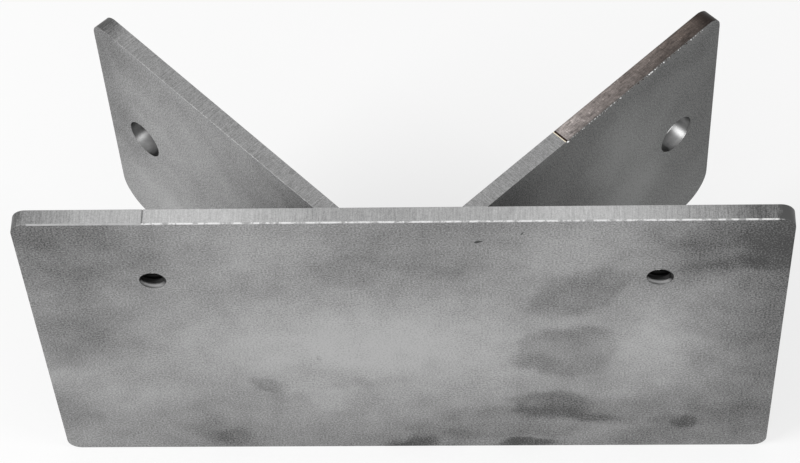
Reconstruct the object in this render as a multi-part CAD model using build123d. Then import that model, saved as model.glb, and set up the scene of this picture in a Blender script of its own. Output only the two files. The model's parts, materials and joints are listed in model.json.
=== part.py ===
"""A welded V bracket: a face plate with two tapped holes, and two wings welded to its back.

The wings stand at right angles to each other, each at 45 degrees to the face plate, and
carry one clearance hole each. The top edges of all three plates lie in one plane.

Frame, in millimetres: the origin is midway between the two tapped holes, on the front
surface of the face plate. +X runs along the plate towards the right wing, +Y back towards
the wings and +Z up. The bracket is symmetric about the YZ plane.
"""

from build123d import *

import math
import os

INCH = 25.4

# All three plates are cut from one thickness of hot-rolled sheet, 3/16 in.
plate_thickness = 0.1875 * INCH

# Face plate. Both holes are tapped right through for 5/16 in bolts, and are modelled at
# the major diameter of the thread.
face_width = 8 * INCH
face_height = 4.5 * INCH
face_corner_radius = 0.15625 * INCH
tapped_hole_diameter = 0.3125 * INCH
tapped_hole_spacing = 5.3 * INCH
tapped_hole_drop = 1.03125 * INCH

# Wings. Their length is that of the outer side, from the face plate to the tip. The hole
# is the 15/32 in clearance size for a 7/16 in bolt.
wing_angle = 45.0
wing_length = 3.5 * INCH
wing_height = 3.2 * INCH
wing_top_radius = 0.1875 * INCH
wing_bottom_radius = 0.375 * INCH
wing_hole_diameter = 0.46875 * INCH
wing_hole_drop = 1.5625 * INCH
wing_hole_to_tip = 0.6 * INCH

# Clear width of the floor of the V, from inner side to inner side of the wings.
v_floor_width = 1.25 * INCH

# Fillet welds, one on each side of each wing. They stop short of the wing's edges, so the
# top of the bracket stays flush. The crown is the rise of the bead over a flat fillet.
inner_weld_leg = 5.0
outer_weld_leg = 4.5
weld_crown = 0.4
weld_top_gap = 6.0
weld_bottom_gap = 4.0

# Places and directions that follow from the sizes above, for the right-hand side.
top_z = tapped_hole_drop
back_y = plate_thickness
along_face = Vector(1, 0, 0)
along_wing = along_face.rotate(Axis.Z, wing_angle)
wing_outward = along_wing.rotate(Axis.Z, -90)
mitre_run = plate_thickness / math.tan(math.radians(wing_angle))
inner_foot = Vector(v_floor_width / 2, back_y, top_z)
outer_foot = inner_foot + along_wing * mitre_run + wing_outward * plate_thickness


def face_plate():
    """Rectangular plate with rounded corners and two holes, its front surface on y = 0."""
    outline = Pos(0, top_z - face_height / 2) * RectangleRounded(
        face_width, face_height, face_corner_radius
    )
    for side in (-1, 1):
        outline -= Pos(side * tapped_hole_spacing / 2, 0) * Circle(tapped_hole_diameter / 2)
    return extrude(Plane.XZ * outline, -plate_thickness)


def right_wing():
    """Plate with its two tip corners rounded, mitred to lie against the face plate's back."""
    inner_side = Plane(inner_foot, x_dir=along_wing, z_dir=wing_outward)
    tip = mitre_run + wing_length
    outline = Rectangle(tip, wing_height, align=(Align.MIN, Align.MAX))
    top_corner = outline.vertices().sort_by(Axis.X)[-2:].sort_by(Axis.Y)[-1]
    outline = fillet(top_corner, wing_top_radius)
    bottom_corner = outline.vertices().sort_by(Axis.Y)[:2].sort_by(Axis.X)[-1]
    outline = fillet(bottom_corner, wing_bottom_radius)
    outline -= Pos(tip - wing_hole_to_tip, -wing_hole_drop) * Circle(wing_hole_diameter / 2)
    blank = extrude(inner_side * outline, plate_thickness)
    return split(blank, bisect_by=Plane.XZ.offset(-back_y), keep=Keep.BOTTOM)


def weld_bead(foot, sides, leg):
    """Convex fillet weld up the corner at a wing's foot, thinning out at both ends.

    The corner opens between the two sides, and the bead reaches one leg out along each.
    Its surface is that of a round-ended bar standing behind the corner.
    """
    bisector = (sides[0] + sides[1]).normalized()
    flat_throat = leg * bisector.dot(sides[0])
    throat = flat_throat + weld_crown
    setback = (leg**2 - throat**2) / (2 * weld_crown)
    radius = throat + setback
    end_reach = math.sqrt(radius**2 - setback**2)
    length = wing_height - weld_top_gap - weld_bottom_gap
    middle = foot - Vector(0, 0, weld_top_gap + length / 2)

    bar = Cylinder(radius, length - 2 * end_reach)
    for end in (-1, 1):
        bar += Pos(0, 0, end * (length / 2 - end_reach)) * Sphere(radius)
    corner = Polygon((0, 0), *[tuple(2 * leg * side)[:2] for side in sides])
    wedge = Pos(0, 0, -length / 2) * extrude(corner, length)
    return Pos(middle) * (wedge & Pos(-setback * bisector) * bar)


def right_side():
    """The right wing and the welds in the open and the sharp corner at its foot."""
    return {
        "wing": right_wing(),
        "inner_weld": weld_bead(inner_foot, (along_wing, -along_face), inner_weld_leg),
        "outer_weld": weld_bead(outer_foot, (along_face, along_wing), outer_weld_leg),
    }


def bracket():
    """Every piece by its node name. The left side mirrors the right."""
    pieces = {"face_plate": face_plate()}
    for name, piece in right_side().items():
        pieces["right_" + name] = piece
        pieces["left_" + name] = mirror(piece, about=Plane.YZ)
    return pieces


os.makedirs("parts", exist_ok=True)
for node, piece in bracket().items():
    piece.label = node
    export_step(piece, f"parts/{node}.step")
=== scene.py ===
"""The looks of a welded V bracket: laser-cut plates of pickled hot-rolled sheet with tapped
holes, burrs and welds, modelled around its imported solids.

Laid out as a Blender add-on and run as a script. Lengths are metres in the solids' frame:
+X along the face plate, +Y back towards the wings, +Z up, with the tapped holes at height 0.
"""

import contextlib
import json
import math
import random

import bmesh
import bpy
from bpy.props import FloatProperty, FloatVectorProperty, IntProperty, PointerProperty
from mathutils import Matrix, Vector


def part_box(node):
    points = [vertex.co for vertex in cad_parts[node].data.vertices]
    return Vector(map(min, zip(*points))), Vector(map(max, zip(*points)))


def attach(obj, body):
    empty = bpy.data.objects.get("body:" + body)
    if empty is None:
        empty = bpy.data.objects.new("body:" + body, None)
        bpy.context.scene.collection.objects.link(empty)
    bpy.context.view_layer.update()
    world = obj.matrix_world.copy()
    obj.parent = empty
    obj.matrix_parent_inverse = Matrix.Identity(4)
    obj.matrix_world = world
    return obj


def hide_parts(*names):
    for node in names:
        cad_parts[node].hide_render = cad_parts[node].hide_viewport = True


bl_info = {
    "name": "Welded V bracket",
    "version": (1, 0, 0),
    "blender": (4, 5, 0),
    "location": "3D View > Sidebar > V bracket",
    "description": "Cut edges, threads, burrs, weld beads and steel for a welded V bracket",
    "category": "Object",
}

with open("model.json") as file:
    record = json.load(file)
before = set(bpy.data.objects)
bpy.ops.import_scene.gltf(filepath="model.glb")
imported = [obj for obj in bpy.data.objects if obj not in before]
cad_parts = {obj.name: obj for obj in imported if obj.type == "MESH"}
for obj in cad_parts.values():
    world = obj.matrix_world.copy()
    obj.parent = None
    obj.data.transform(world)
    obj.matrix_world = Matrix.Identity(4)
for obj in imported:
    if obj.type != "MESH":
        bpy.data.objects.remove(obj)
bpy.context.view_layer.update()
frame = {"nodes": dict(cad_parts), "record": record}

MM = 0.001
BODY = "root"
WHITE = (1, 1, 1, 1)
SIDES = {"left": -1, "right": 1}

# Places that come from the solids and their mounts.
MOUNTS = {mount["name"]: mount for mount in frame["record"]["mounts"]}
PLATE_LOW, PLATE_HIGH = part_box("face_plate")
THICKNESS = PLATE_HIGH.y - PLATE_LOW.y
TOP = PLATE_HIGH.z
HOLE_X = MOUNTS["face_holes"]["dims"]["spacing_x_mm"] / 2 * MM
MAJOR_RADIUS = MOUNTS["face_holes"]["dims"]["hole_r_mm"] * MM
WING_OUTWARD = Vector(MOUNTS["right_wing_hole"]["axis"])
WING_ANGLE = math.atan2(WING_OUTWARD.x, -WING_OUTWARD.y)
INNER_FOOT = Vector((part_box("right_wing")[0].x, PLATE_HIGH.y, TOP))
WING_LENGTH = (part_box("right_wing")[1].y - PLATE_HIGH.y) / math.sin(WING_ANGLE)
FOOT_WIDTH = THICKNESS / math.sin(WING_ANGLE)

# The burr runs along the face plate's front top edge, short of its rounded corners.
CORNER_ROOM = 4.5 * MM
BURR_LENGTH = PLATE_HIGH.x - PLATE_LOW.x - 2 * CORNER_ROOM

# Along the face plate, back from it, and up.
ALONG, BACK, UP = (Vector(way) for way in ((1, 0, 0), (0, 1, 0), (0, 0, 1)))

# The face plate's steel, which the threads' flush ends share.
FACE_STEEL = "pickled_hot_rolled_face_plate"

# How finely meshes are joined, how flat the faces are that are joined up, and how sharp a
# corner is.
SAME_PLACE = 1e-6
FLAT = math.radians(0.5)
CORNER = math.radians(35)

# The least cosine between a face's normal and a direction for the face to count as square to
# it, as the burr's seat, or as leaning towards it.
SQUARE = 0.999
SEAT_FACING = 0.99
LEANING = 0.7

# Where the cutting beam started: across the face plate's top edge, and across the right
# wing's, measured from the wing's inner foot.
PLATE_NICK_X = -67.0 * MM
WING_NICK_ALONG = 33.9 * MM


def linear(code):
    """A colour written as sRGB hex, as the linear RGBA that Blender works in."""
    parts = [int(code[i : i + 2], 16) / 255 for i in (1, 3, 5)]
    return [p / 12.92 if p <= 0.04045 else ((p + 0.055) / 1.055) ** 2.4 for p in parts] + [1.0]


def wing_frame(side):
    """A wing's inner foot at the top edge, its direction to the tip and its outward side."""
    outward = Vector((side * WING_OUTWARD.x, WING_OUTWARD.y, 0))
    along = Vector((side * -WING_OUTWARD.y, WING_OUTWARD.x, 0))
    foot = Vector((side * INNER_FOOT.x, INNER_FOOT.y, INNER_FOOT.z))
    return foot, along, outward


# Settings


def length_setting(name, description, millimetres):
    """A length that the user may change."""
    return FloatProperty(
        name=name, description=description, default=millimetres * MM, unit="LENGTH", precision=5
    )


def angle_setting(name, description, degrees):
    """An angle that the user may change."""
    return FloatProperty(
        name=name, description=description, default=math.radians(degrees), subtype="ANGLE"
    )


def colour_setting(name, description, code):
    """A colour that the user may change, given as sRGB hex."""
    return FloatVectorProperty(
        name=name, description=description, default=linear(code), subtype="COLOR", size=4
    )


class CutPlateSettings(bpy.types.PropertyGroup):
    edge_break: length_setting(
        "Edge break", "Rounding of the cut edges by handling and pickling", 0.14
    )
    nick_width: length_setting(
        "Nick width", "Width of the groove that the beam leaves where it starts and stops", 0.5
    )
    nick_depth: length_setting("Nick depth", "Depth of that groove below the top edge", 0.35)


class ThreadSettings(bpy.types.PropertyGroup):
    pitch: length_setting(
        "Pitch", "Distance from one thread to the next, 18 to the inch", 25.4 / 18
    )
    depth: length_setting("Depth", "Height of the ridge that the tap leaves", 0.70)
    left_start: angle_setting(
        "Left start", "Angle at which the left thread meets the front surface", 205
    )
    right_start: angle_setting(
        "Right start", "Angle at which the right thread meets the front surface", 195
    )


class BurrSettings(bpy.types.PropertyGroup):
    seat: length_setting("Burr seat", "Size of the burnt-back corner that the burr sits in", 0.34)
    radius: length_setting(
        "Burr radius", "Thickness of the burr along the face plate's front top edge", 0.2
    )
    lump: length_setting("Lump", "How much the burr's thickness wanders", 0.22)
    bead_count: IntProperty(
        name="Dross beads",
        description="Beads of dross along the right wing's outer top edge",
        default=60,
    )
    bead_radius: length_setting("Bead radius", "Radius of a middling bead of dross", 0.19)


class WeldSettings(bpy.types.PropertyGroup):
    ripple: length_setting(
        "Ripple",
        "Distance from one ripple of a weld bead to the next, drawn coarse enough to show",
        2.2,
    )
    crown: length_setting("Crown", "Rise of a bead over a flat fillet", 0.4)
    lean: angle_setting("Lean", "Tilt of the ripples, which trail behind the torch", 28)


class SteelColours(bpy.types.PropertyGroup):
    clean: colour_setting("Clean sheet", "The brightest of the pickled surface", "#b9b9b9")
    smudge: colour_setting("Smudge", "Dark smudges that pickling leaves on the sheet", "#454545")
    # The right wing's colour is painted shade: set darker than the left's, as for a wing turned
    # away from the strong left lamp.
    right_clean: colour_setting(
        "Clean right wing",
        "The brightest of the right wing, which is cut from a darker sheet",
        "#878887",
    )
    cut_edge: colour_setting("Cut edge", "Bare metal of a laser-cut edge", "#d2d2d2")
    dull_edge: colour_setting("Dull edge", "Flutes and stains of a laser-cut edge", "#525252")


class StageSettings(bpy.types.PropertyGroup):
    lens: FloatProperty(
        name="Lens",
        description="Focal length in millimetres, on a 36 mm wide sensor",
        default=122.23,
    )
    floor: colour_setting("Floor", "Colour of the floor", "#f7f7f7")


class BracketSettings(bpy.types.PropertyGroup):
    plates: PointerProperty(type=CutPlateSettings)
    threads: PointerProperty(type=ThreadSettings)
    burrs: PointerProperty(type=BurrSettings)
    welds: PointerProperty(type=WeldSettings)
    colours: PointerProperty(type=SteelColours)
    stage: PointerProperty(type=StageSettings)


# Materials


def new_material(name):
    """A new material, its node tree and its shader."""
    material = bpy.data.materials.new(name)
    material.use_nodes = True
    tree = material.node_tree
    return material, tree, tree.nodes["Principled BSDF"]


def connect(tree, node, inputs):
    """Sets a node's inputs to values, or links them to outputs or to nodes' first outputs."""
    for name, value in inputs.items():
        if isinstance(value, bpy.types.Node):
            value = value.outputs[0]
        if isinstance(value, bpy.types.NodeSocket):
            tree.links.new(value, node.inputs[name])
        else:
            node.inputs[name].default_value = value


def add(tree, kind, inputs=None, **settings):
    """A node with its settings and inputs, which go by name or by number.

    A MapRange's inputs 1 to 4 are the range that it reads and the one that it gives and
    keeps within. A colour Mix has its share at 0 and its two colours at 6 and 7.
    """
    node = tree.nodes.new("ShaderNode" + kind)
    for name, value in settings.items():
        setattr(node, name, value)
    connect(tree, node, inputs or {})
    return node


def piece_coordinates(tree, turn=0.0):
    """Object coordinates in millimetres, turned so that X runs along a plate's top edge."""
    place = add(tree, "TexCoord").outputs["Object"]
    turned = add(tree, "Mapping", {"Vector": place, "Rotation": (0, 0, -turn)})
    return add(tree, "VectorMath", {0: turned, "Scale": 1 / MM}, operation="SCALE")


def smudged(tree, place, smudges):
    """How dark the smudges make each point: soft-edged clouds at chosen places.

    A smudge is its centre along and up, its half width and half height, all in
    millimetres, its tilt in degrees, its strength and how soft its border is, from 0 to 1.
    The borders wander by a millimetre or two over a centimetre, and each smudge reaches
    right through the plate.
    """
    wander, right_through = 10.0, 1000
    drift = add(
        tree, "TexNoise", {"Vector": place, "Scale": 0.09, "Detail": 3.0, "Roughness": 0.55}
    )
    centred = add(
        tree, "VectorMath", {0: drift.outputs["Color"], 1: (0.5, 0.5, 0.5)}, operation="SUBTRACT"
    )
    moved = add(
        tree,
        "VectorMath",
        {0: centred, 1: (wander, wander, wander), 2: place},
        operation="MULTIPLY_ADD",
    )
    total = 0.0
    for along, up, half_width, half_height, tilt, strength, softness in smudges:
        spot = add(
            tree,
            "Mapping",
            {
                "Vector": moved,
                "Location": (along, 0, up),
                "Rotation": (0, -math.radians(tilt), 0),
                "Scale": (half_width, right_through, half_height),
            },
            vector_type="TEXTURE",
        )
        ball = add(tree, "TexGradient", {"Vector": spot}, gradient_type="SPHERICAL")
        soft = add(
            tree,
            "MapRange",
            {0: ball.outputs["Fac"], 2: softness, 4: strength},
            interpolation_type="SMOOTHSTEP",
        )
        total = add(tree, "Math", {0: total, 1: soft})
    return total


def darkened(tree, place, smudges, pattern, speck, clean, dark):
    """The share of dark steel that smudges, a pattern and specks add up to, and the blend."""
    patterned = add(tree, "Math", {0: smudged(tree, place, smudges), 1: pattern})
    share = add(tree, "Math", {0: patterned, 1: speck}, use_clamp=True)
    blend = add(tree, "Mix", {0: share, 6: list(clean), 7: list(dark)}, data_type="RGBA")
    return share, blend.outputs[2]


def two_toned(tree, shader, share, one, other, metallic, roughness):
    """Finishes a metal whose colour goes from one sRGB hex to the other as the share grows."""
    blend = add(tree, "Mix", {0: share, 6: linear(one), 7: linear(other)}, data_type="RGBA")
    surface = {"Base Color": blend.outputs[2], "Metallic": metallic, "Roughness": roughness}
    connect(tree, shader, surface)


def pickled_hot_rolled_steel(name, clean, dark, smudges, turn=0.0, speckle=0.33):
    """Hot-rolled sheet with its scale pickled off: matte grey, cloudy and finely grained."""
    material, tree, shader = new_material(name)
    place = piece_coordinates(tree, turn)
    # Cloudy mottling a centimetre or so across, over the smudges.
    mottle = add(
        tree, "TexNoise", {"Vector": place, "Scale": 0.11, "Detail": 6.0, "Roughness": 0.6}
    )
    cloud = add(tree, "MapRange", {0: mottle, 1: 0.3, 2: 0.7, 3: 0.315, 4: 0.505})
    # The grain of the pickled surface, half a millimetre or less across.
    grain = add(tree, "TexNoise", {"Vector": place, "Scale": 1.9, "Detail": 2.0, "Roughness": 0.8})
    speck = add(tree, "MapRange", {0: grain, 1: 0.3, 2: 0.7, 3: -speckle, 4: speckle})
    surface = {
        "Base Color": darkened(tree, place, smudges, cloud, speck, clean, dark)[1],
        "Metallic": 0.75,
        "Roughness": add(tree, "MapRange", {0: grain, 1: 0.3, 2: 0.7, 3: 0.48, 4: 0.6}),
        "Normal": add(tree, "Bump", {"Height": grain, "Strength": 0.25, "Distance": 0.05 * MM}),
    }
    connect(tree, shader, surface)
    return material


def laser_cut_edge(name, clean, dark, smudges, turn=0.0, heat=None):
    """A laser-cut edge: bare bright steel with fine flutes straight through the sheet."""
    material, tree, shader = new_material(name)
    place = piece_coordinates(tree, turn)
    # Flutes half a millimetre apart run through the sheet's thickness.
    stretched = add(tree, "Mapping", {"Vector": place, "Scale": (2.6, 0.2, 2.6)})
    flutes = add(
        tree, "TexNoise", {"Vector": stretched, "Scale": 1.0, "Detail": 2.0, "Roughness": 0.55}
    )
    lines = add(tree, "MapRange", {0: flutes, 1: 0.25, 2: 0.75, 3: 0.53, 4: 0.29})
    # Grain a third of a millimetre across.
    grain = add(tree, "TexNoise", {"Vector": place, "Scale": 3.0, "Detail": 2.0, "Roughness": 0.7})
    speck = add(tree, "MapRange", {0: grain, 1: 0.3, 2: 0.7, 3: -0.14, 4: 0.14})
    share, metal = darkened(tree, place, smudges, lines, speck, clean, dark)
    if heat:
        metal = heat_tinted(tree, place, metal, share, *heat)
    surface = {
        "Base Color": metal,
        "Metallic": 0.85,
        "Roughness": add(tree, "MapRange", {0: flutes, 1: 0.25, 2: 0.75, 3: 0.52, 4: 0.4}),
        "Normal": add(tree, "Bump", {"Height": flutes, "Strength": 0.3, "Distance": 0.08 * MM}),
    }
    connect(tree, shader, surface)
    return material


def heat_tinted(tree, place, metal, flutes, start, end, middle):
    """Brown and purple oxide that deepens along an edge from start to end, in millimetres.

    It is darker towards the wing's outer side, where the beam left the sheet. Where it starts, a
    pale line and a dark line across the edge are painted highlight and painted shade for the nick's
    two walls.
    """
    along, across, up = add(tree, "SeparateXYZ", {0: place}).outputs
    drift = add(tree, "TexNoise", {"Vector": place, "Scale": 0.3, "Detail": 5.0, "Roughness": 0.7})
    wandering = add(tree, "Math", {0: drift, 1: 24.0, 2: along}, operation="MULTIPLY_ADD")
    depth = add(tree, "MapRange", {0: wandering, 1: start + 10, 2: end + 2, 3: 0.0, 4: 1.0})
    deepened = add(tree, "Math", {0: depth, 1: 0.5}, operation="POWER")
    brown = add(
        tree, "Mix", {0: deepened, 6: linear("#b5adaa"), 7: linear("#5c534e")}, data_type="RGBA"
    )
    # Streaks a few millimetres long, which follow the edge, and specks a millimetre across.
    stretched = add(tree, "Mapping", {"Vector": place, "Scale": (0.45, 1.7, 1.7)})
    streaks = add(
        tree, "TexNoise", {"Vector": stretched, "Scale": 1.0, "Detail": 5.0, "Roughness": 0.75}
    )
    specks = add(tree, "TexNoise", {"Vector": place, "Scale": 1.1, "Detail": 3.0, "Roughness": 0.7})
    inwards = add(tree, "Math", {0: across, 1: middle}, operation="SUBTRACT")
    shaded = add(tree, "MapRange", {0: inwards, 1: -2.3, 2: 2.3, 3: 0.66, 4: 1.2})
    # A dark inner rim, then the flutes, the streaks and the specks.
    for source, *ends in (
        (inwards, 1.9, 2.35, 1.0, 0.6),
        (flutes, 0.2, 1.0, 1.3, 0.55),
        (streaks, 0.3, 0.7, 0.4, 1.6),
        (specks, 0.6, 0.72, 1.0, 2.0),
    ):
        share = add(tree, "MapRange", {0: source, **dict(enumerate(ends, 1))})
        shaded = add(tree, "Math", {0: shaded, 1: share}, operation="MULTIPLY")
    toned = add(tree, "VectorMath", {0: brown.outputs[2], "Scale": shaded}, operation="SCALE")
    # The tip is burnt nearly black, and most of all near the top.
    top = TOP / MM
    near_tip = add(tree, "MapRange", {0: along, 1: end - 8, 2: end - 2.5, 3: 0.0, 4: 0.94})
    near_top = add(tree, "MapRange", {0: up, 1: top - 16, 2: top - 4, 3: 0.5, 4: 1.0})
    burnt = add(tree, "Math", {0: near_tip, 1: near_top}, operation="MULTIPLY")
    tip = add(tree, "Mix", {0: burnt, 6: toned, 7: linear("#1c1412")}, data_type="RGBA")
    begun = add(tree, "MapRange", {0: along, 1: start, 2: start + 0.1, 3: 0.0, 4: 1.0})
    colour = add(tree, "Mix", {0: begun, 6: metal, 7: tip.outputs[2]}, data_type="RGBA")
    # A pale and a dark line across the edge at the nick: painted highlight and painted shade for
    # the nick's two walls.
    for low, high, code in ((-0.45, -0.1, "#f6ecd4"), (-0.05, 0.35, "#2a1f1a")):
        low, high = start + low, start + high
        risen = add(tree, "MapRange", {0: along, 1: low - 0.05, 2: low, 3: 0.0, 4: 1.0})
        fallen = add(tree, "MapRange", {0: along, 1: high, 2: high + 0.05, 3: 1.0, 4: 0.0})
        line = add(tree, "Math", {0: risen, 1: fallen}, operation="MULTIPLY")
        colour = add(
            tree, "Mix", {0: line, 6: colour.outputs[2], 7: linear(code)}, data_type="RGBA"
        )
    return colour.outputs[2]


def bright_burr_metal(name, bright, dull, dull_share, dull_from=None):
    """Melted metal at a cut's lower edge, near white as a painted glint, and broken up by duller
    gaps.

    The gaps widen with their share. Towards -X of dull_from, in millimetres, it is nearly
    all dull.
    """
    material, tree, shader = new_material(name)
    place = piece_coordinates(tree)
    # Gaps a couple of millimetres long.
    gaps = add(tree, "TexNoise", {"Vector": place, "Scale": 0.45, "Detail": 5.0, "Roughness": 0.75})
    low, high = dull_share - 0.05, dull_share + 0.05
    share = add(tree, "MapRange", {0: gaps, 1: low, 2: high, 3: 1.0, 4: 0.0})
    if dull_from is not None:
        along = add(tree, "SeparateXYZ", {0: place})
        low, high = dull_from - 0.1, dull_from + 0.1
        left = add(tree, "MapRange", {0: along, 1: low, 2: high, 3: 0.85, 4: 0.0})
        share = add(tree, "Math", {0: share, 1: left}, operation="MAXIMUM")
    two_toned(tree, shader, share, bright, dull, 0.6, 0.42)
    return material


def plate_burr_metal(name):
    """The face plate's burr: bright with a painted glint up to where the cut ended, and dull from
    there.
    """
    return bright_burr_metal(name, "#e2e2e2", "#a2a2a2", 0.47, PLATE_NICK_X / MM)


def tapped_thread_steel(name):
    """Freshly tapped steel: painted shade, nearly black, deep in the hole, and painted light low
    down near the front.
    """
    material, tree, shader = new_material(name)
    place = piece_coordinates(tree)
    into_plate, height = add(tree, "SeparateXYZ", {0: place}).outputs[1:3]
    # Noise a millimetre across makes the border of the painted light wander.
    oil = add(tree, "TexNoise", {"Vector": place, "Scale": 0.9, "Detail": 3.0, "Roughness": 0.6})
    wandering = add(tree, "Math", {0: oil, 1: -1.6, 2: height}, operation="MULTIPLY_ADD")
    low_down = add(tree, "MapRange", {0: wandering, 1: -3.6, 2: -1.8, 3: 1.0, 4: 0.0})
    near_front = add(tree, "MapRange", {0: into_plate, 1: 0.9, 2: 2.2, 3: 1.0, 4: 0.0})
    wiped = add(tree, "Math", {0: low_down, 1: near_front}, operation="MULTIPLY")
    two_toned(tree, shader, wiped, "#161616", "#969696", 0.9, 0.45)
    return material


def oxidised_bore_steel(name, centre, radius, along, outward):
    """The wall of a laser-cut hole: dark oxide that is also painted shade, with painted light low
    on its outer, tip side.
    """
    material, tree, shader = new_material(name)
    place = piece_coordinates(tree)
    offset = add(tree, "VectorMath", {0: place, 1: centre / MM}, operation="SUBTRACT")
    low_tip_side = (along - UP).normalized() * MM / radius
    facing = add(tree, "VectorMath", {0: offset, 1: low_tip_side}, operation="DOT_PRODUCT")
    outer = add(tree, "VectorMath", {0: offset, 1: outward}, operation="DOT_PRODUCT")
    # Noise two millimetres across makes the border of the painted light wander.
    oxide = add(tree, "TexNoise", {"Vector": place, "Scale": 0.5, "Detail": 3.0, "Roughness": 0.6})
    wandering = add(
        tree, "Math", {0: oxide, 1: 0.4, 2: facing.outputs["Value"]}, operation="MULTIPLY_ADD"
    )
    low_down = add(tree, "MapRange", {0: wandering, 1: 0.6, 2: 1.15, 3: 0.0, 4: 1.0})
    outer_side = add(tree, "MapRange", {0: outer.outputs["Value"], 1: -2.0, 2: 1.5, 3: 0.2, 4: 1.0})
    rubbed = add(tree, "Math", {0: low_down, 1: outer_side}, operation="MULTIPLY")
    two_toned(tree, shader, rubbed, "#363636", "#a8a8a8", 0.85, 0.38)
    return material


def weld_metal(name):
    """A wire-welded bead: rippled steel, a little darker and glossier than the sheet."""
    material, tree, shader = new_material(name)
    place = piece_coordinates(tree)
    # Patches of oxide about as large as the ripples.
    oxide = add(
        tree, "TexNoise", {"Vector": place, "Scale": 0.45, "Detail": 4.0, "Roughness": 0.65}
    )
    two_toned(tree, shader, oxide, "#3e3e3e", "#a09e9c", 0.9, 0.4)
    return material


# Modelling


def work_on(piece):
    """Selects one piece alone, so that the next operator acts on nothing else."""
    bpy.ops.object.select_all(action="DESELECT")
    piece.select_set(True)
    bpy.context.view_layer.objects.active = piece


@contextlib.contextmanager
def editing(piece, action="SELECT"):
    """Edit mode on one piece alone, which starts with all of its mesh selected, or nothing."""
    work_on(piece)
    bpy.ops.object.mode_set(mode="EDIT")
    bpy.ops.mesh.select_all(action=action)
    yield
    bpy.ops.object.mode_set(mode="OBJECT")


def shade_smooth(piece):
    """Shades the piece smooth, but for its sharp corners."""
    work_on(piece)
    bpy.ops.object.shade_smooth_by_angle(angle=CORNER)


def new_primitive(name, operator, **size):
    """Adds a primitive with nothing else selected, and names it."""
    bpy.ops.object.select_all(action="DESELECT")
    operator(**size)
    piece = bpy.context.active_object
    piece.name = name
    return piece


def copy_of(source, name):
    """A copy of a piece, with a mesh of its own."""
    piece = bpy.data.objects.new(name, source.data.copy())
    bpy.context.collection.objects.link(piece)
    return piece


def whole_faced_copy(node, name):
    """A copy of a node whose loose triangles are joined up into whole faces."""
    piece = copy_of(frame["nodes"][node], name)
    piece.data.materials.clear()
    work_on(piece)
    bpy.ops.mesh.customdata_custom_splitnormals_clear()
    with editing(piece):
        bpy.ops.mesh.remove_doubles(threshold=SAME_PLACE)
        bpy.ops.mesh.dissolve_limited(angle_limit=FLAT)
    return piece


def bisect_at(piece, points, normal):
    """Splits the piece's faces by planes through these points, and keeps both sides."""
    with editing(piece):
        for point in points:
            bpy.ops.mesh.select_all(action="SELECT")
            bpy.ops.mesh.bisect(plane_co=point, plane_no=normal, threshold=SAME_PLACE)


def select_edges(piece, chosen):
    """In edit mode, selects the edges whose ends pass the test, and nothing else."""
    bpy.ops.mesh.select_all(action="DESELECT")
    mesh = bmesh.from_edit_mesh(piece.data)
    for edge in mesh.edges:
        if chosen(*(vertex.co for vertex in edge.verts)):
            edge.select_set(True)
    bmesh.update_edit_mesh(piece.data)


def round_corners(piece, width, stays_sharp):
    """Rounds the piece's sharp edges a little, but for those that the test says stay sharp."""
    with editing(piece, "DESELECT"):
        mesh = bmesh.from_edit_mesh(piece.data)
        for edge in mesh.edges:
            sharp = edge.is_manifold and edge.calc_face_angle() > CORNER
            if sharp and not stays_sharp(*(vertex.co for vertex in edge.verts)):
                edge.select_set(True)
        bmesh.update_edit_mesh(piece.data)
        bpy.ops.mesh.bevel(offset=width, segments=3, profile=0.5, affect="EDGES")


def apply_modifier(piece, kind, **settings):
    """Adds a modifier with its settings and applies it."""
    work_on(piece)
    modifier = piece.modifiers.new(kind.title(), kind)
    for name, value in settings.items():
        setattr(modifier, name, value)
    bpy.ops.object.modifier_apply(modifier=modifier.name)


def roughen(piece, grain, depth, height, mid_level):
    """Makes a piece lumpy with cloudy bumps of this grain, depth of detail and height."""
    lumps = bpy.data.textures.new(piece.name + "_lumps", "CLOUDS")
    lumps.noise_scale = grain
    lumps.noise_depth = depth
    apply_modifier(
        piece,
        "DISPLACE",
        texture=lumps,
        texture_coords="LOCAL",
        strength=height,
        mid_level=mid_level,
    )


def settle(piece):
    """Moves the piece's place, turn and size into its mesh, which leaves it at the origin."""
    work_on(piece)
    bpy.ops.object.transform_apply(location=True, rotation=True, scale=True)


def cut_groove(piece, place, across, width, depth, length):
    """Cuts a straight V groove of this width and depth, which may run along a corner."""
    cutter = new_primitive(
        "groove_cutter",
        bpy.ops.mesh.primitive_cylinder_add,
        vertices=4,
        radius=width / 2,
        depth=length,
        location=place,
        rotation=across.to_track_quat("Z", "Y").to_euler(),
    )
    settle(cutter)
    with editing(cutter):
        bpy.ops.transform.resize(value=(1, 1, depth / (width / 2)), center_override=place)
    apply_modifier(piece, "BOOLEAN", object=cutter, operation="DIFFERENCE", solver="EXACT")
    bpy.data.objects.remove(cutter)


def cut_nick(piece, place, across, settings):
    """Cuts a groove across a top edge, where the cutting beam started and stopped."""
    width, depth = settings.nick_width, settings.nick_depth
    cut_groove(piece, place, across, width, depth, 3 * THICKNESS)


def finish_plate(piece, normal, flat_material, edge_material, node):
    """Gives a plate its materials by which way its faces lean, and stands it for its node."""
    piece.data.materials.append(flat_material)
    piece.data.materials.append(edge_material)
    shade_smooth(piece)
    for polygon in piece.data.polygons:
        facing = [abs(polygon.normal.dot(way)) for way in (normal, UP, normal.cross(UP))]
        polygon.material_index = 0 if facing[0] > LEANING else 1
        polygon.use_smooth = max(facing) <= SQUARE
    finish_piece(piece, "sheet_steel", node)


def line_bore(piece, centre, axis, radius, material):
    """Gives a hole's wall a steel of its own."""
    piece.data.materials.append(material)
    for polygon in piece.data.polygons:
        off_axis = axis.cross(polygon.center - centre).length
        if off_axis < radius + SAME_PLACE and abs(polygon.normal.dot(axis)) < SQUARE:
            polygon.material_index = len(piece.data.materials) - 1


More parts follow.
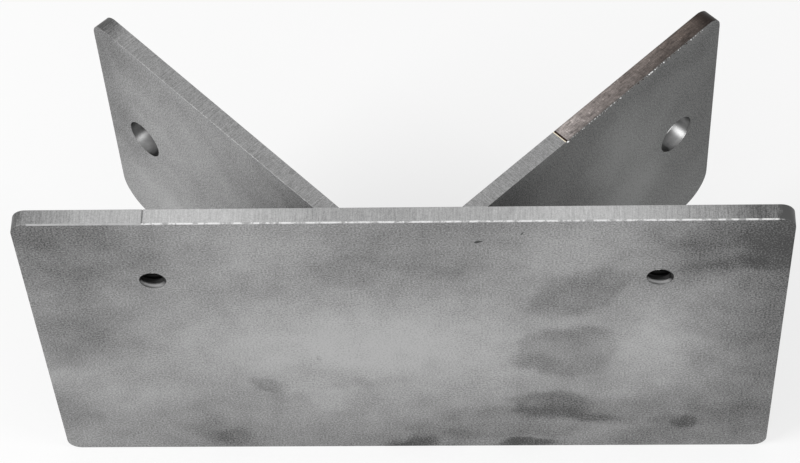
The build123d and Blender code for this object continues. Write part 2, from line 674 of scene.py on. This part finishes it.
def finish_piece(piece, slot, *nodes):
    """Rides the piece on the bracket and hides the nodes that it stands for. Its finish's slot is
    not used.
    """
    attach(piece, BODY)
    if nodes:
        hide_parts(*nodes)


# Pieces


class BRACKET_OT_face_plate(bpy.types.Operator):
    """Cuts the face plate: broken edges, the beam's nick and a cloudy pickled surface"""

    bl_idname = "bracket.face_plate"
    bl_label = "Face plate"

    # Soft light and dark areas, then smudges, then specks. See smudged() for the numbers.
    areas = (
        (-12, -34, 80, 36, 0, -0.4, 1.0),
        (-42, 14, 30, 20, 0, -0.1, 0.9),
        (-64, 12, 18, 12, 0, 0.12, 0.8),
        (38, 12, 24, 16, 20, -0.14, 0.9),
        (74, 6, 16, 16, 0, 0.14, 0.8),
        (66, -34, 18, 28, 0, -0.24, 0.9),
        (-90, -24, 22, 26, 0, 0.2, 0.8),
        (-78, -58, 26, 20, 0, -0.12, 0.9),
        (72, 20, 18, 10, 0, 0.1, 0.8),
        (66, 0, 12, 10, 0, 0.08, 0.8),
        (-26, -60, 16, 10, 0, -0.14, 0.8),
        (66, -84, 14, 8, 0, 0.14, 0.8),
        (-96, 22, 42, 16, 0, 0.34, 0.9),
        (-90, 4, 34, 18, 0, 0.24, 0.9),
        (-100, -68, 18, 18, 0, 0.16, 0.9),
        (-98, -47, 14, 8, 0, -0.12, 0.8),
        (104, -20, 34, 100, 0, 0.38, 1.0),
        (98, 18, 42, 24, 0, 0.34, 0.9),
        (8, 16, 38, 22, 0, 0.12, 0.6),
        (0, -90, 110, 20, 0, 0.2, 0.9),
        (84, -74, 36, 26, 0, 0.24, 0.9),
        (-66, -74, 40, 22, 20, 0.08, 0.9),
    )
    smudges = (
        (-14, 4, 12, 9, 0, 0.1, 0.4),
        (7, 3, 13, 6, -8, 0.06, 0.5),
        (47, -7, 19, 11, 35, 0.17, 0.3),
        (43, -37, 18, 15, 20, 0.2, 0.3),
        (42, -28, 6, 4, 0, 0.1, 0.8),
        (36, -43, 8, 6, -30, 0.08, 0.8),
        (52, -36, 9, 9, 0, -0.08, 0.8),
        (85, 5, 22, 5, 6, 0.16, 0.8),
        (39, -65, 15, 10, 0, 0.3, 0.45),
        (51, -73, 9, 4, -8, 0.22, 0.6),
        (49, -63, 10, 9, 0, 0.1, 0.8),
        (28, -75, 36, 11, 4, 0.16, 0.4),
        (62, -68, 14, 10, 0, 0.1, 0.5),
        (-41, -53, 9, 5, -24, 0.22, 0.6),
        (-35, -60, 8, 5, -24, 0.14, 0.7),
        (-25, -45, 11, 8, 0, 0.1, 0.7),
        (-14, -53, 16, 4, 4, 0.1, 0.7),
        (-52, -84, 9, 9, 0, 0.2, 0.6),
        (-56, -78, 14, 10, 0, 0.12, 0.7),
        (0, -86, 11, 5, 20, 0.38, 0.7),
        (34, -87, 12, 4, 8, 0.38, 0.6),
        (77, -74.5, 5, 4.5, 0, 0.26, 0.7),
        (72, -74, 8, 5, 0, 0.1, 0.8),
    )
    specks = (
        (18.7, 15.9, 1.7, 0.6, 22, 2.0, 0.5),
        (32, 20.5, 1.0, 0.4, 50, 0.5, 0.6),
        (-25.5, -40, 2.2, 1.8, 0, 0.2, 0.8),
    )
    # Stains of the top edge.
    edge_stains = (
        (-100, 26, 20, 20, 0, 0.28, 0.8),
        (-52, 26, 24, 20, 0, -0.15, 0.8),
        (-12, 26, 18, 20, 0, 0.1, 0.5),
        (12, 26, 20, 20, 0, 0.06, 0.5),
        (46, 26, 22, 20, 0, -0.1, 0.8),
        (82, 26, 18, 20, 0, 0.2, 0.8),
        (98, 26, 18, 20, 0, 0.42, 0.8),
        (104, 24, 9, 9, 0, 0.55, 0.5),
        (-103, 23, 8, 9, 0, 0.25, 0.6),
    )

    def execute(self, context):
        settings = context.scene.v_bracket
        piece = whole_faced_copy("face_plate", "face_plate_cut")
        feet = (INNER_FOOT.x, INNER_FOOT.x + FOOT_WIDTH)
        bisect_at(piece, [side * x * ALONG for side in SIDES.values() for x in feet], ALONG)

        def stays_sharp(*ends):
            """Whether an edge is a hole's mouth, or a wing's foot where the joint is flush."""
            at_a_hole = all(
                math.hypot(abs(end.x) - HOLE_X, end.z) < MAJOR_RADIUS + SAME_PLACE for end in ends
            )
            under_a_wing = all(
                abs(end.y - THICKNESS) < SAME_PLACE
                and abs(end.z - TOP) < SAME_PLACE
                and feet[0] - SAME_PLACE < abs(end.x) < feet[1] + SAME_PLACE
                for end in ends
            )
            return at_a_hole or (under_a_wing and ends[0].x * ends[1].x > 0)

        round_corners(piece, settings.plates.edge_break, stays_sharp)
        seat = settings.burrs.seat
        front_top = Vector((0, PLATE_LOW.y, TOP))
        cut_groove(piece, front_top, ALONG, 2 * seat, seat, BURR_LENGTH)
        nick = Vector((PLATE_NICK_X, THICKNESS / 2, TOP))
        cut_nick(piece, nick, BACK, settings.plates)
        flat = pickled_hot_rolled_steel(
            FACE_STEEL,
            settings.colours.clean,
            settings.colours.smudge,
            self.areas + self.smudges + self.specks,
        )
        edge = laser_cut_edge(
            "laser_cut_face_plate_edge",
            settings.colours.cut_edge,
            settings.colours.dull_edge,
            self.edge_stains,
        )
        finish_plate(piece, BACK, flat, edge, "face_plate")
        # The bores' steel: painted shade deep inside, and painted light low down near the front.
        bore_steel = tapped_thread_steel("tapped_bore_steel")
        for side in SIDES.values():
            line_bore(piece, side * HOLE_X * ALONG, BACK, MAJOR_RADIUS, bore_steel)
        # The burr's seat takes the burr's metal, with its painted glint.
        piece.data.materials.append(plate_burr_metal("bright_burr_seat"))
        outwards = (UP - BACK).normalized()
        for polygon in piece.data.polygons:
            if polygon.normal.dot(outwards) > SEAT_FACING and polygon.center.z > 0:
                polygon.material_index = len(piece.data.materials) - 1
        return {"FINISHED"}


class BRACKET_OT_wings(bpy.types.Operator):
    """Cuts both wings, with the beam's nick and heat tint on the right one's top edge"""

    bl_idname = "bracket.wings"
    bl_label = "Wings"

    # From the inner foot towards the tip, and up from the tapped holes' height.
    smudges = {
        "left": (
            # Painted shade: darker near the foot, in the corner with the face plate.
            (4, 16, 26, 30, 0, 0.38, 0.9),
            (30, 8, 16, 12, 0, 0.08, 0.6),
            (60, 4, 34, 18, 0, -0.06, 0.9),
            (78, 20, 30, 12, 0, 0.14, 0.8),
            (96, 0, 26, 60, 0, 0.26, 0.9),
            (60, -44, 40, 26, 20, -0.18, 0.9),
        ),
        "right": (
            # Painted shade: darker near the foot, in the corner with the face plate.
            (6, 16, 26, 30, 0, 0.42, 0.9),
            (82, 20, 26, 10, 0, 0.14, 0.8),
            (38, 16, 18, 14, 0, 0.08, 0.8),
            (60, -24, 20, 14, 0, -0.32, 0.8),
            (37, -4, 10, 16, 10, 0.16, 0.6),
            (56, 0, 18, 30, 30, -0.28, 0.9),
            (60, 22, 26, 6, 0, 0.08, 0.8),
            (94, -10, 26, 60, 0, 0.26, 0.9),
            (60, 22, 40, 10, 0, 0.06, 0.9),
        ),
    }
    edge_stains = {
        "left": (
            (45, 26, 400, 400, 0, 0.25, 0.5),
            (97, 24, 15, 12, 0, 0.46, 1.0),
            (94, 28, 6, 8, 0, 0.3, 1.0),
        ),
        "right": (
            (16, 26, 400, 400, 0, 0.24, 0.5),
            (97, 26, 12, 16, 0, 0.6, 0.7),
        ),
    }

    # How strongly each wing's sheet is specked.
    speckle = {"left": 0.36, "right": 0.45}

    def execute(self, context):
        settings = context.scene.v_bracket
        for name, side in SIDES.items():
            foot, along, outward = wing_frame(side)
            piece = whole_faced_copy(f"{name}_wing", f"{name}_wing_cut")
            hole = MOUNTS[f"{name}_wing_hole"]
            centre, radius = Vector(hole["pos_m"]), hole["dims"]["r_mm"] * MM

            def stays_sharp(*ends):
                """Whether an edge is the hole's mouth, or lies on the back of the face plate."""
                at_the_hole = all(
                    outward.cross(end - centre).length < radius + SAME_PLACE for end in ends
                )
                return at_the_hole or all(abs(end.y - THICKNESS) < SAME_PLACE for end in ends)

            round_corners(piece, settings.plates.edge_break, stays_sharp)
            turn = side * WING_ANGLE
            heat = None
            if side > 0:
                nick = foot + along * WING_NICK_ALONG + outward * THICKNESS / 2
                cut_nick(piece, nick, outward, settings.plates)
                start = nick.dot(along) / MM
                end = start + (WING_LENGTH - WING_NICK_ALONG) / MM
                heat = (start, end, -nick.dot(outward) / MM)
            # The right wing takes its darker colour, which is painted shade.
            flat = pickled_hot_rolled_steel(
                f"pickled_hot_rolled_{name}_wing",
                settings.colours.right_clean if side > 0 else settings.colours.clean,
                settings.colours.smudge,
                self.from_the_foot(self.smudges[name], foot, along, side),
                turn,
                self.speckle[name],
            )
            edge = laser_cut_edge(
                f"laser_cut_{name}_wing_edge",
                settings.colours.cut_edge,
                settings.colours.dull_edge,
                self.from_the_foot(self.edge_stains[name], foot, along, side),
                turn,
                heat,
            )
            finish_plate(piece, outward, flat, edge, f"{name}_wing")
            # Each wing's bore: dark oxide and painted shade, with painted light low on its outer,
            # tip side.
            bore_steel = oxidised_bore_steel(
                f"oxidised_{name}_bore_steel", centre, radius, along, outward
            )
            line_bore(piece, centre, outward, radius, bore_steel)
        return {"FINISHED"}

    def from_the_foot(self, smudges, foot, along, side):
        """Smudges measured from a wing's foot, placed where its turned coordinates have them."""
        origin = foot.dot(along) / MM
        return [
            (side * (origin + distance), up, width, height, side * tilt, *rest)
            for distance, up, width, height, tilt, *rest in smudges
        ]


class BRACKET_OT_threads(bpy.types.Operator):
    """Taps both holes of the face plate with a right-hand thread"""

    bl_idname = "bracket.threads"
    bl_label = "Threads"

    # The ridge's width at the wall and at its crest, in pitches, its steps in a turn, and the
    # turns that it runs before the plate and past it.
    base_share = 0.84
    crest_share = 0.2
    steps = 96
    turns_before, turns_past = 2, 1

    def execute(self, context):
        settings = context.scene.v_bracket.threads
        # The thread takes that steel, with its painted shade and painted light.
        steel = tapped_thread_steel("tapped_thread_steel")
        for name, side in SIDES.items():
            ridge = new_primitive(f"{name}_thread", bpy.ops.mesh.primitive_plane_add, size=1)
            self.shape_ridge(ridge, settings)
            turns = self.turns_before + math.ceil(THICKNESS / settings.pitch) + self.turns_past
            apply_modifier(
                ridge,
                "SCREW",
                axis="Y",
                angle=2 * math.pi,
                screw_offset=settings.pitch,
                iterations=turns,
                steps=self.steps,
                render_steps=self.steps,
                use_normal_calculate=True,
            )
            ridge.rotation_euler.y = getattr(settings, f"{name}_start")
            ridge.location = (side * HOLE_X, -self.turns_before * settings.pitch, 0)
            settle(ridge)
            self.trim(ridge)
            ridge.data.materials.append(steel)
            ridge.data.materials.append(bpy.data.materials[FACE_STEEL])
            shade_smooth(ridge)
            for polygon in ridge.data.polygons:
                flush = abs(polygon.normal.y) > SQUARE
                polygon.material_index = 1 if flush else 0
                polygon.use_smooth = not flush
            finish_piece(ridge, "sheet_steel")
        return {"FINISHED"}

    def shape_ridge(self, ridge, settings):
        """Makes the plane a ridge's section: wide at the wall and narrow at its crest."""
        size = (settings.depth, self.base_share * settings.pitch, 1)
        taper = (1, self.crest_share / self.base_share, 1)
        middle = MAJOR_RADIUS - settings.depth / 2
        with editing(ridge):
            bpy.ops.transform.resize(value=size, center_override=(0, 0, 0))
            bpy.ops.transform.translate(value=(middle, 0, 0))
            select_edges(ridge, lambda one, other: max(one.x, other.x) < middle)
            bpy.ops.transform.resize(value=taper, center_override=(0, 0, 0))
            bpy.ops.mesh.select_all(action="SELECT")
            bpy.ops.mesh.delete(type="ONLY_FACE")

    def trim(self, ridge):
        """Cuts the ridge off flush with both surfaces of the plate, and closes its ends."""
        with editing(ridge):
            bpy.ops.mesh.remove_doubles(threshold=SAME_PLACE)
            bpy.ops.mesh.fill_holes(sides=4)
            for place, outward in ((PLATE_LOW.y, -1), (PLATE_HIGH.y, 1)):
                bpy.ops.mesh.select_all(action="SELECT")
                bpy.ops.mesh.bisect(
                    plane_co=(0, place, 0),
                    plane_no=(0, outward, 0),
                    use_fill=True,
                    clear_outer=True,
                    threshold=SAME_PLACE,
                )
            bpy.ops.mesh.select_all(action="SELECT")
            bpy.ops.mesh.normals_make_consistent(inside=False)


class BRACKET_OT_burrs(bpy.types.Operator):
    """Leaves the burr on the face plate's top edge, and the dross on the right wing's"""

    bl_idname = "bracket.burrs"
    bl_label = "Burrs"

    # The burr is cut across into 100 lengths, and each of them into 5.
    ring_cuts = (99, 4)

    # Left of the nick it is thinner, but for one lump near the plate's corner.
    thinned = 0.45
    lump_from, lump_to = -89 * MM, -85.5 * MM

    # Beads of dross: the spread of their sizes, how much larger the one by the nick is, and
    # how far they stand out of the wing's side, lie below its top and stop short of its tip.
    bead_sizes = (0.6, 1.4)
    nick_bead = 1.8
    bead_stand = 0.02 * MM
    bead_drops = (0.05, 0.15)
    tip_room = 7 * MM

    def execute(self, context):
        settings = context.scene.v_bracket.burrs
        self.plate_burr(settings, plate_burr_metal("bright_burr_metal"))
        # The dross beads' near white is painted glint on dark burnt metal.
        dross_metal = bright_burr_metal("burnt_dross_metal", "#f6f6f6", "#3a2f2a", 0.5)
        self.wing_dross(settings, dross_metal)
        return {"FINISHED"}

    def plate_burr(self, settings, metal):
        """A thin irregular bead in the burnt-back front top corner, which it doesn't pass."""
        radius = settings.radius
        burr = new_primitive(
            "face_plate_burr",
            bpy.ops.mesh.primitive_cylinder_add,
            vertices=10,
            radius=radius,
            depth=BURR_LENGTH,
            location=(0, PLATE_LOW.y + radius, TOP - radius),
            rotation=(0, math.pi / 2, 0),
        )
        settle(burr)
        with editing(burr):
            for cuts in self.ring_cuts:
                select_edges(burr, lambda one, other: abs(one.x - other.x) > SAME_PLACE)
                bpy.ops.mesh.subdivide(number_cuts=cuts)
            self.shrink_left_of_the_nick(burr, radius)
        roughen(burr, grain=1.6 * MM, depth=3, height=settings.lump, mid_level=0.5)
        for vertex in burr.data.vertices:
            vertex.co.y = max(vertex.co.y, PLATE_LOW.y)
            vertex.co.z = min(vertex.co.z, TOP)
        burr.data.materials.append(metal)
        shade_smooth(burr)
        finish_piece(burr, "sheet_steel")

    def shrink_left_of_the_nick(self, burr, radius):
        """Thins the burr where the cut ended, towards a line a little behind its middle."""
        mesh = bmesh.from_edit_mesh(burr.data)
        bpy.ops.mesh.select_all(action="DESELECT")
        for vertex in mesh.verts:
            in_lump = self.lump_from < vertex.co.x < self.lump_to
            vertex.select_set(vertex.co.x < PLATE_NICK_X and not in_lump)
        bmesh.update_edit_mesh(burr.data)
        centre = (0, PLATE_LOW.y + 1.2 * radius, TOP - 1.2 * radius)
        thinner = (1, self.thinned, self.thinned)
        bpy.ops.transform.resize(value=thinner, center_override=centre)

    def wing_dross(self, settings, metal):
        """Beads of dross along the outer top edge, from the nick to near the tip."""
        foot, along, outward = wing_frame(1)
        chance = random.Random(11)
        start, end = WING_NICK_ALONG, WING_LENGTH - self.tip_room
        beads = []
        for number in range(settings.bead_count):
            share = (number + chance.uniform(0, 0.8)) / settings.bead_count
            size = chance.uniform(*self.bead_sizes) if number else self.nick_bead
            radius = settings.bead_radius * size
            place = (
                foot
                + along * (start + (end - start) * share)
                + outward * (THICKNESS + self.bead_stand)
                - UP * (radius + chance.uniform(*self.bead_drops) * MM)
            )
            bead = new_primitive(
                f"dross_bead_{number}",
                bpy.ops.mesh.primitive_ico_sphere_add,
                subdivisions=2,
                radius=radius,
                location=place,
                scale=(chance.uniform(0.8, 1.6), chance.uniform(0.8, 1.2), 0.9),
                rotation=(0, 0, WING_ANGLE),
            )
            beads.append(bead)
        bpy.ops.object.select_all(action="DESELECT")
        for bead in beads:
            bead.select_set(True)
        bpy.context.view_layer.objects.active = beads[0]
        bpy.ops.object.join()
        dross = bpy.context.active_object
        dross.name = "right_wing_dross"
        settle(dross)
        roughen(dross, grain=0.25 * MM, depth=2, height=settings.bead_radius, mid_level=0.6)
        dross.data.materials.append(metal)
        bpy.ops.object.shade_smooth()
        finish_piece(dross, "sheet_steel")


class BRACKET_OT_welds(bpy.types.Operator):
    """Lays the rippled fillet welds in the corners at the wings' feet"""

    bl_idname = "bracket.welds"
    bl_label = "Welds"

    # Half a ripple's thickness, in ripples, so that neighbours overlap, and the size of the
    # cells that melt them into one bead.
    overlap = 0.8
    melt_cell = 0.15 * MM

    def execute(self, context):
        settings = context.scene.v_bracket.welds
        metal = weld_metal("wire_welded_bead")
        for node in ("right_inner_weld", "right_outer_weld"):
            bead = self.rippled(node, settings)
            bead.data.materials.append(metal)
            shade_smooth(bead)
            finish_piece(bead, "weld_metal", node)
            self.mirrored(bead, node.replace("right", "left"))
        return {"FINISHED"}

    def rippled(self, node, settings):
        """A stack of tilted, overlapping lenses, cut to the bead's own envelope."""
        low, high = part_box(node)
        inner = "inner" in node
        corner = Vector((INNER_FOOT.x, INNER_FOOT.y, 0))
        if not inner:
            corner.x += FOOT_WIDTH
        sides = math.pi - WING_ANGLE if inner else WING_ANGLE
        facing = math.pi - sides / 2 if inner else sides / 2
        leg = (corner.x - low.x) if inner else (high.x - corner.x)
        flat_throat = leg * math.cos(sides / 2)
        throat = flat_throat + settings.crown
        half_width = leg * math.sin(sides / 2) / math.sqrt(1 - (flat_throat / throat) ** 2)
        lens = new_primitive(
            node + "_bead",
            bpy.ops.mesh.primitive_uv_sphere_add,
            segments=48,
            ring_count=16,
            radius=1,
            location=(0, 0, 0),
        )
        half_thickness = self.overlap * settings.ripple
        lens.scale = (throat / math.cos(settings.lean), half_width, half_thickness)
        settle(lens)
        lens.rotation_euler = (0, -settings.lean, 0)
        settle(lens)
        lens.rotation_euler = (0, 0, facing)
        lens.location = (corner.x, corner.y, low.z)
        settle(lens)
        count = math.ceil((high.z - low.z) / settings.ripple) + 1
        apply_modifier(
            lens,
            "ARRAY",
            count=count,
            use_relative_offset=False,
            use_constant_offset=True,
            constant_offset_displace=(0, 0, settings.ripple),
        )
        apply_modifier(lens, "REMESH", mode="VOXEL", voxel_size=self.melt_cell)
        envelope = whole_faced_copy(node, node + "_envelope")
        apply_modifier(lens, "BOOLEAN", object=envelope, operation="INTERSECT", solver="EXACT")
        bpy.data.objects.remove(envelope)
        return lens

    def mirrored(self, bead, node):
        """Copies a bead to the other wing."""
        twin = copy_of(bead, node + "_bead")
        with editing(twin):
            bpy.ops.transform.resize(value=(-1, 1, 1), center_override=(0, 0, 0))
            bpy.ops.mesh.normals_make_consistent(inside=False)
        finish_piece(twin, "weld_metal", node)


class BRACKET_OT_stage(bpy.types.Operator):
    """Sets up the pale floor, the soft lamps and the camera"""

    bl_idname = "bracket.stage"
    bl_label = "Stage"

    # Camera: its place, and how far it is turned towards +X, tipped down and rolled.
    camera_place = (29.24 * MM, -398.86 * MM, 598.83 * MM)
    camera_turn = math.radians(-4.228)
    camera_tip = math.radians(55.265)
    camera_roll = math.radians(3.921)

    # Name, place, size and power in watts of each lamp, and the point that they face.
    lamps = (
        ("key_softbox", (-0.9, -0.35, 0.75), 0.6, 10.0),
        ("fill_softbox", (0.95, -0.3, 0.7), 0.4, 2.5),
    )
    lit_point = Vector((0, 0, -0.03))

    def execute(self, context):
        settings = context.scene.v_bracket.stage
        self.floor(settings)
        self.light(context)
        self.camera(context, settings)
        context.scene.view_settings.view_transform = "Standard"
        return {"FINISHED"}

    def floor(self, settings):
        """A wide pale floor under the face plate's bottom edge."""
        floor = new_primitive(
            "floor", bpy.ops.mesh.primitive_plane_add, size=8, location=(0, 0, PLATE_LOW.z)
        )
        material, tree, shader = new_material("matte_paper_floor")
        tree.nodes.remove(shader)
        paper = add(tree, "BsdfDiffuse", {"Color": list(settings.floor)})
        glow = add(tree, "Emission", {"Color": WHITE, "Strength": 1.0})
        # Seven tenths of what is seen is plain white, and the rest still takes the shadow.
        share = add(tree, "Math", {0: self.seen(tree), 1: 0.7}, operation="MULTIPLY")
        mixed = add(tree, "MixShader", {0: share, 1: paper, 2: glow})
        connect(tree, tree.nodes["Material Output"], {"Surface": mixed})
        floor.data.materials.append(material)

    def seen(self, tree):
        """1 for what the camera sees, itself or mirrored in metal or through glass."""
        rays = add(tree, "LightPath").outputs
        mirrored = add(tree, "Math", {0: rays["Is Camera Ray"], 1: rays["Is Glossy Ray"]})
        return add(tree, "Math", {0: mirrored, 1: rays["Is Transmission Ray"]}, use_clamp=True)

    def light(self, context):
        """Soft lamps above and in front, a strong left one and a weak right one, in a pale room."""
        for name, place, size, power in self.lamps:
            aim = (self.lit_point - Vector(place)).to_track_quat("-Z", "Y")
            bpy.ops.object.light_add(type="AREA", location=place, rotation=aim.to_euler())
            lamp = context.active_object
            lamp.name = name
            lamp.data.size = size
            lamp.data.energy = power
        world = bpy.data.worlds.new("pale_room")
        world.use_nodes = True
        context.scene.world = world
        tree = world.node_tree
        # It is seen as white, and lights the bracket half as strongly.
        strength = add(tree, "MapRange", {0: self.seen(tree), 1: 0.0, 2: 1.0, 3: 0.5, 4: 1.0})
        connect(tree, tree.nodes["Background"], {"Color": WHITE, "Strength": strength})

    def camera(self, context, settings):
        """A long lens above and in front, looking down on the tapped face."""
        turn = (
            Matrix.Rotation(-self.camera_turn, 4, "Z")
            @ Matrix.Rotation(math.pi / 2 - self.camera_tip, 4, "X")
            @ Matrix.Rotation(-self.camera_roll, 4, "Z")
        )
        bpy.ops.object.camera_add(location=self.camera_place, rotation=turn.to_euler())
        camera = context.active_object
        camera.data.lens = settings.lens
        camera.data.clip_start = 0.01
        context.scene.camera = camera


class BRACKET_PT_panel(bpy.types.Panel):
    """Lists the bracket's pieces and settings"""

    bl_label = "V bracket"
    bl_idname = "BRACKET_PT_panel"
    bl_space_type = "VIEW_3D"
    bl_region_type = "UI"
    bl_category = "V bracket"

    def draw(self, context):
        settings = context.scene.v_bracket
        for operator in OPERATORS:
            self.layout.operator(operator.bl_idname)
        for group in BracketSettings.__annotations__:
            box = self.layout.box()
            for name in getattr(settings, group).__annotations__:
                box.prop(getattr(settings, group), name)


OPERATORS = (
    BRACKET_OT_face_plate,
    BRACKET_OT_wings,
    BRACKET_OT_threads,
    BRACKET_OT_burrs,
    BRACKET_OT_welds,
    BRACKET_OT_stage,
)
CLASSES = (
    CutPlateSettings,
    ThreadSettings,
    BurrSettings,
    WeldSettings,
    SteelColours,
    StageSettings,
    BracketSettings,
    *OPERATORS,
    BRACKET_PT_panel,
)


def register():
    for cls in CLASSES:
        bpy.utils.register_class(cls)
    bpy.types.Scene.v_bracket = PointerProperty(type=BracketSettings)


def unregister():
    del bpy.types.Scene.v_bracket
    for cls in reversed(CLASSES):
        bpy.utils.unregister_class(cls)


def main():
    register()
    for operator in OPERATORS:
        group, name = operator.bl_idname.split(".")
        getattr(getattr(bpy.ops, group), name)()


if __name__ == "__main__":
    main()
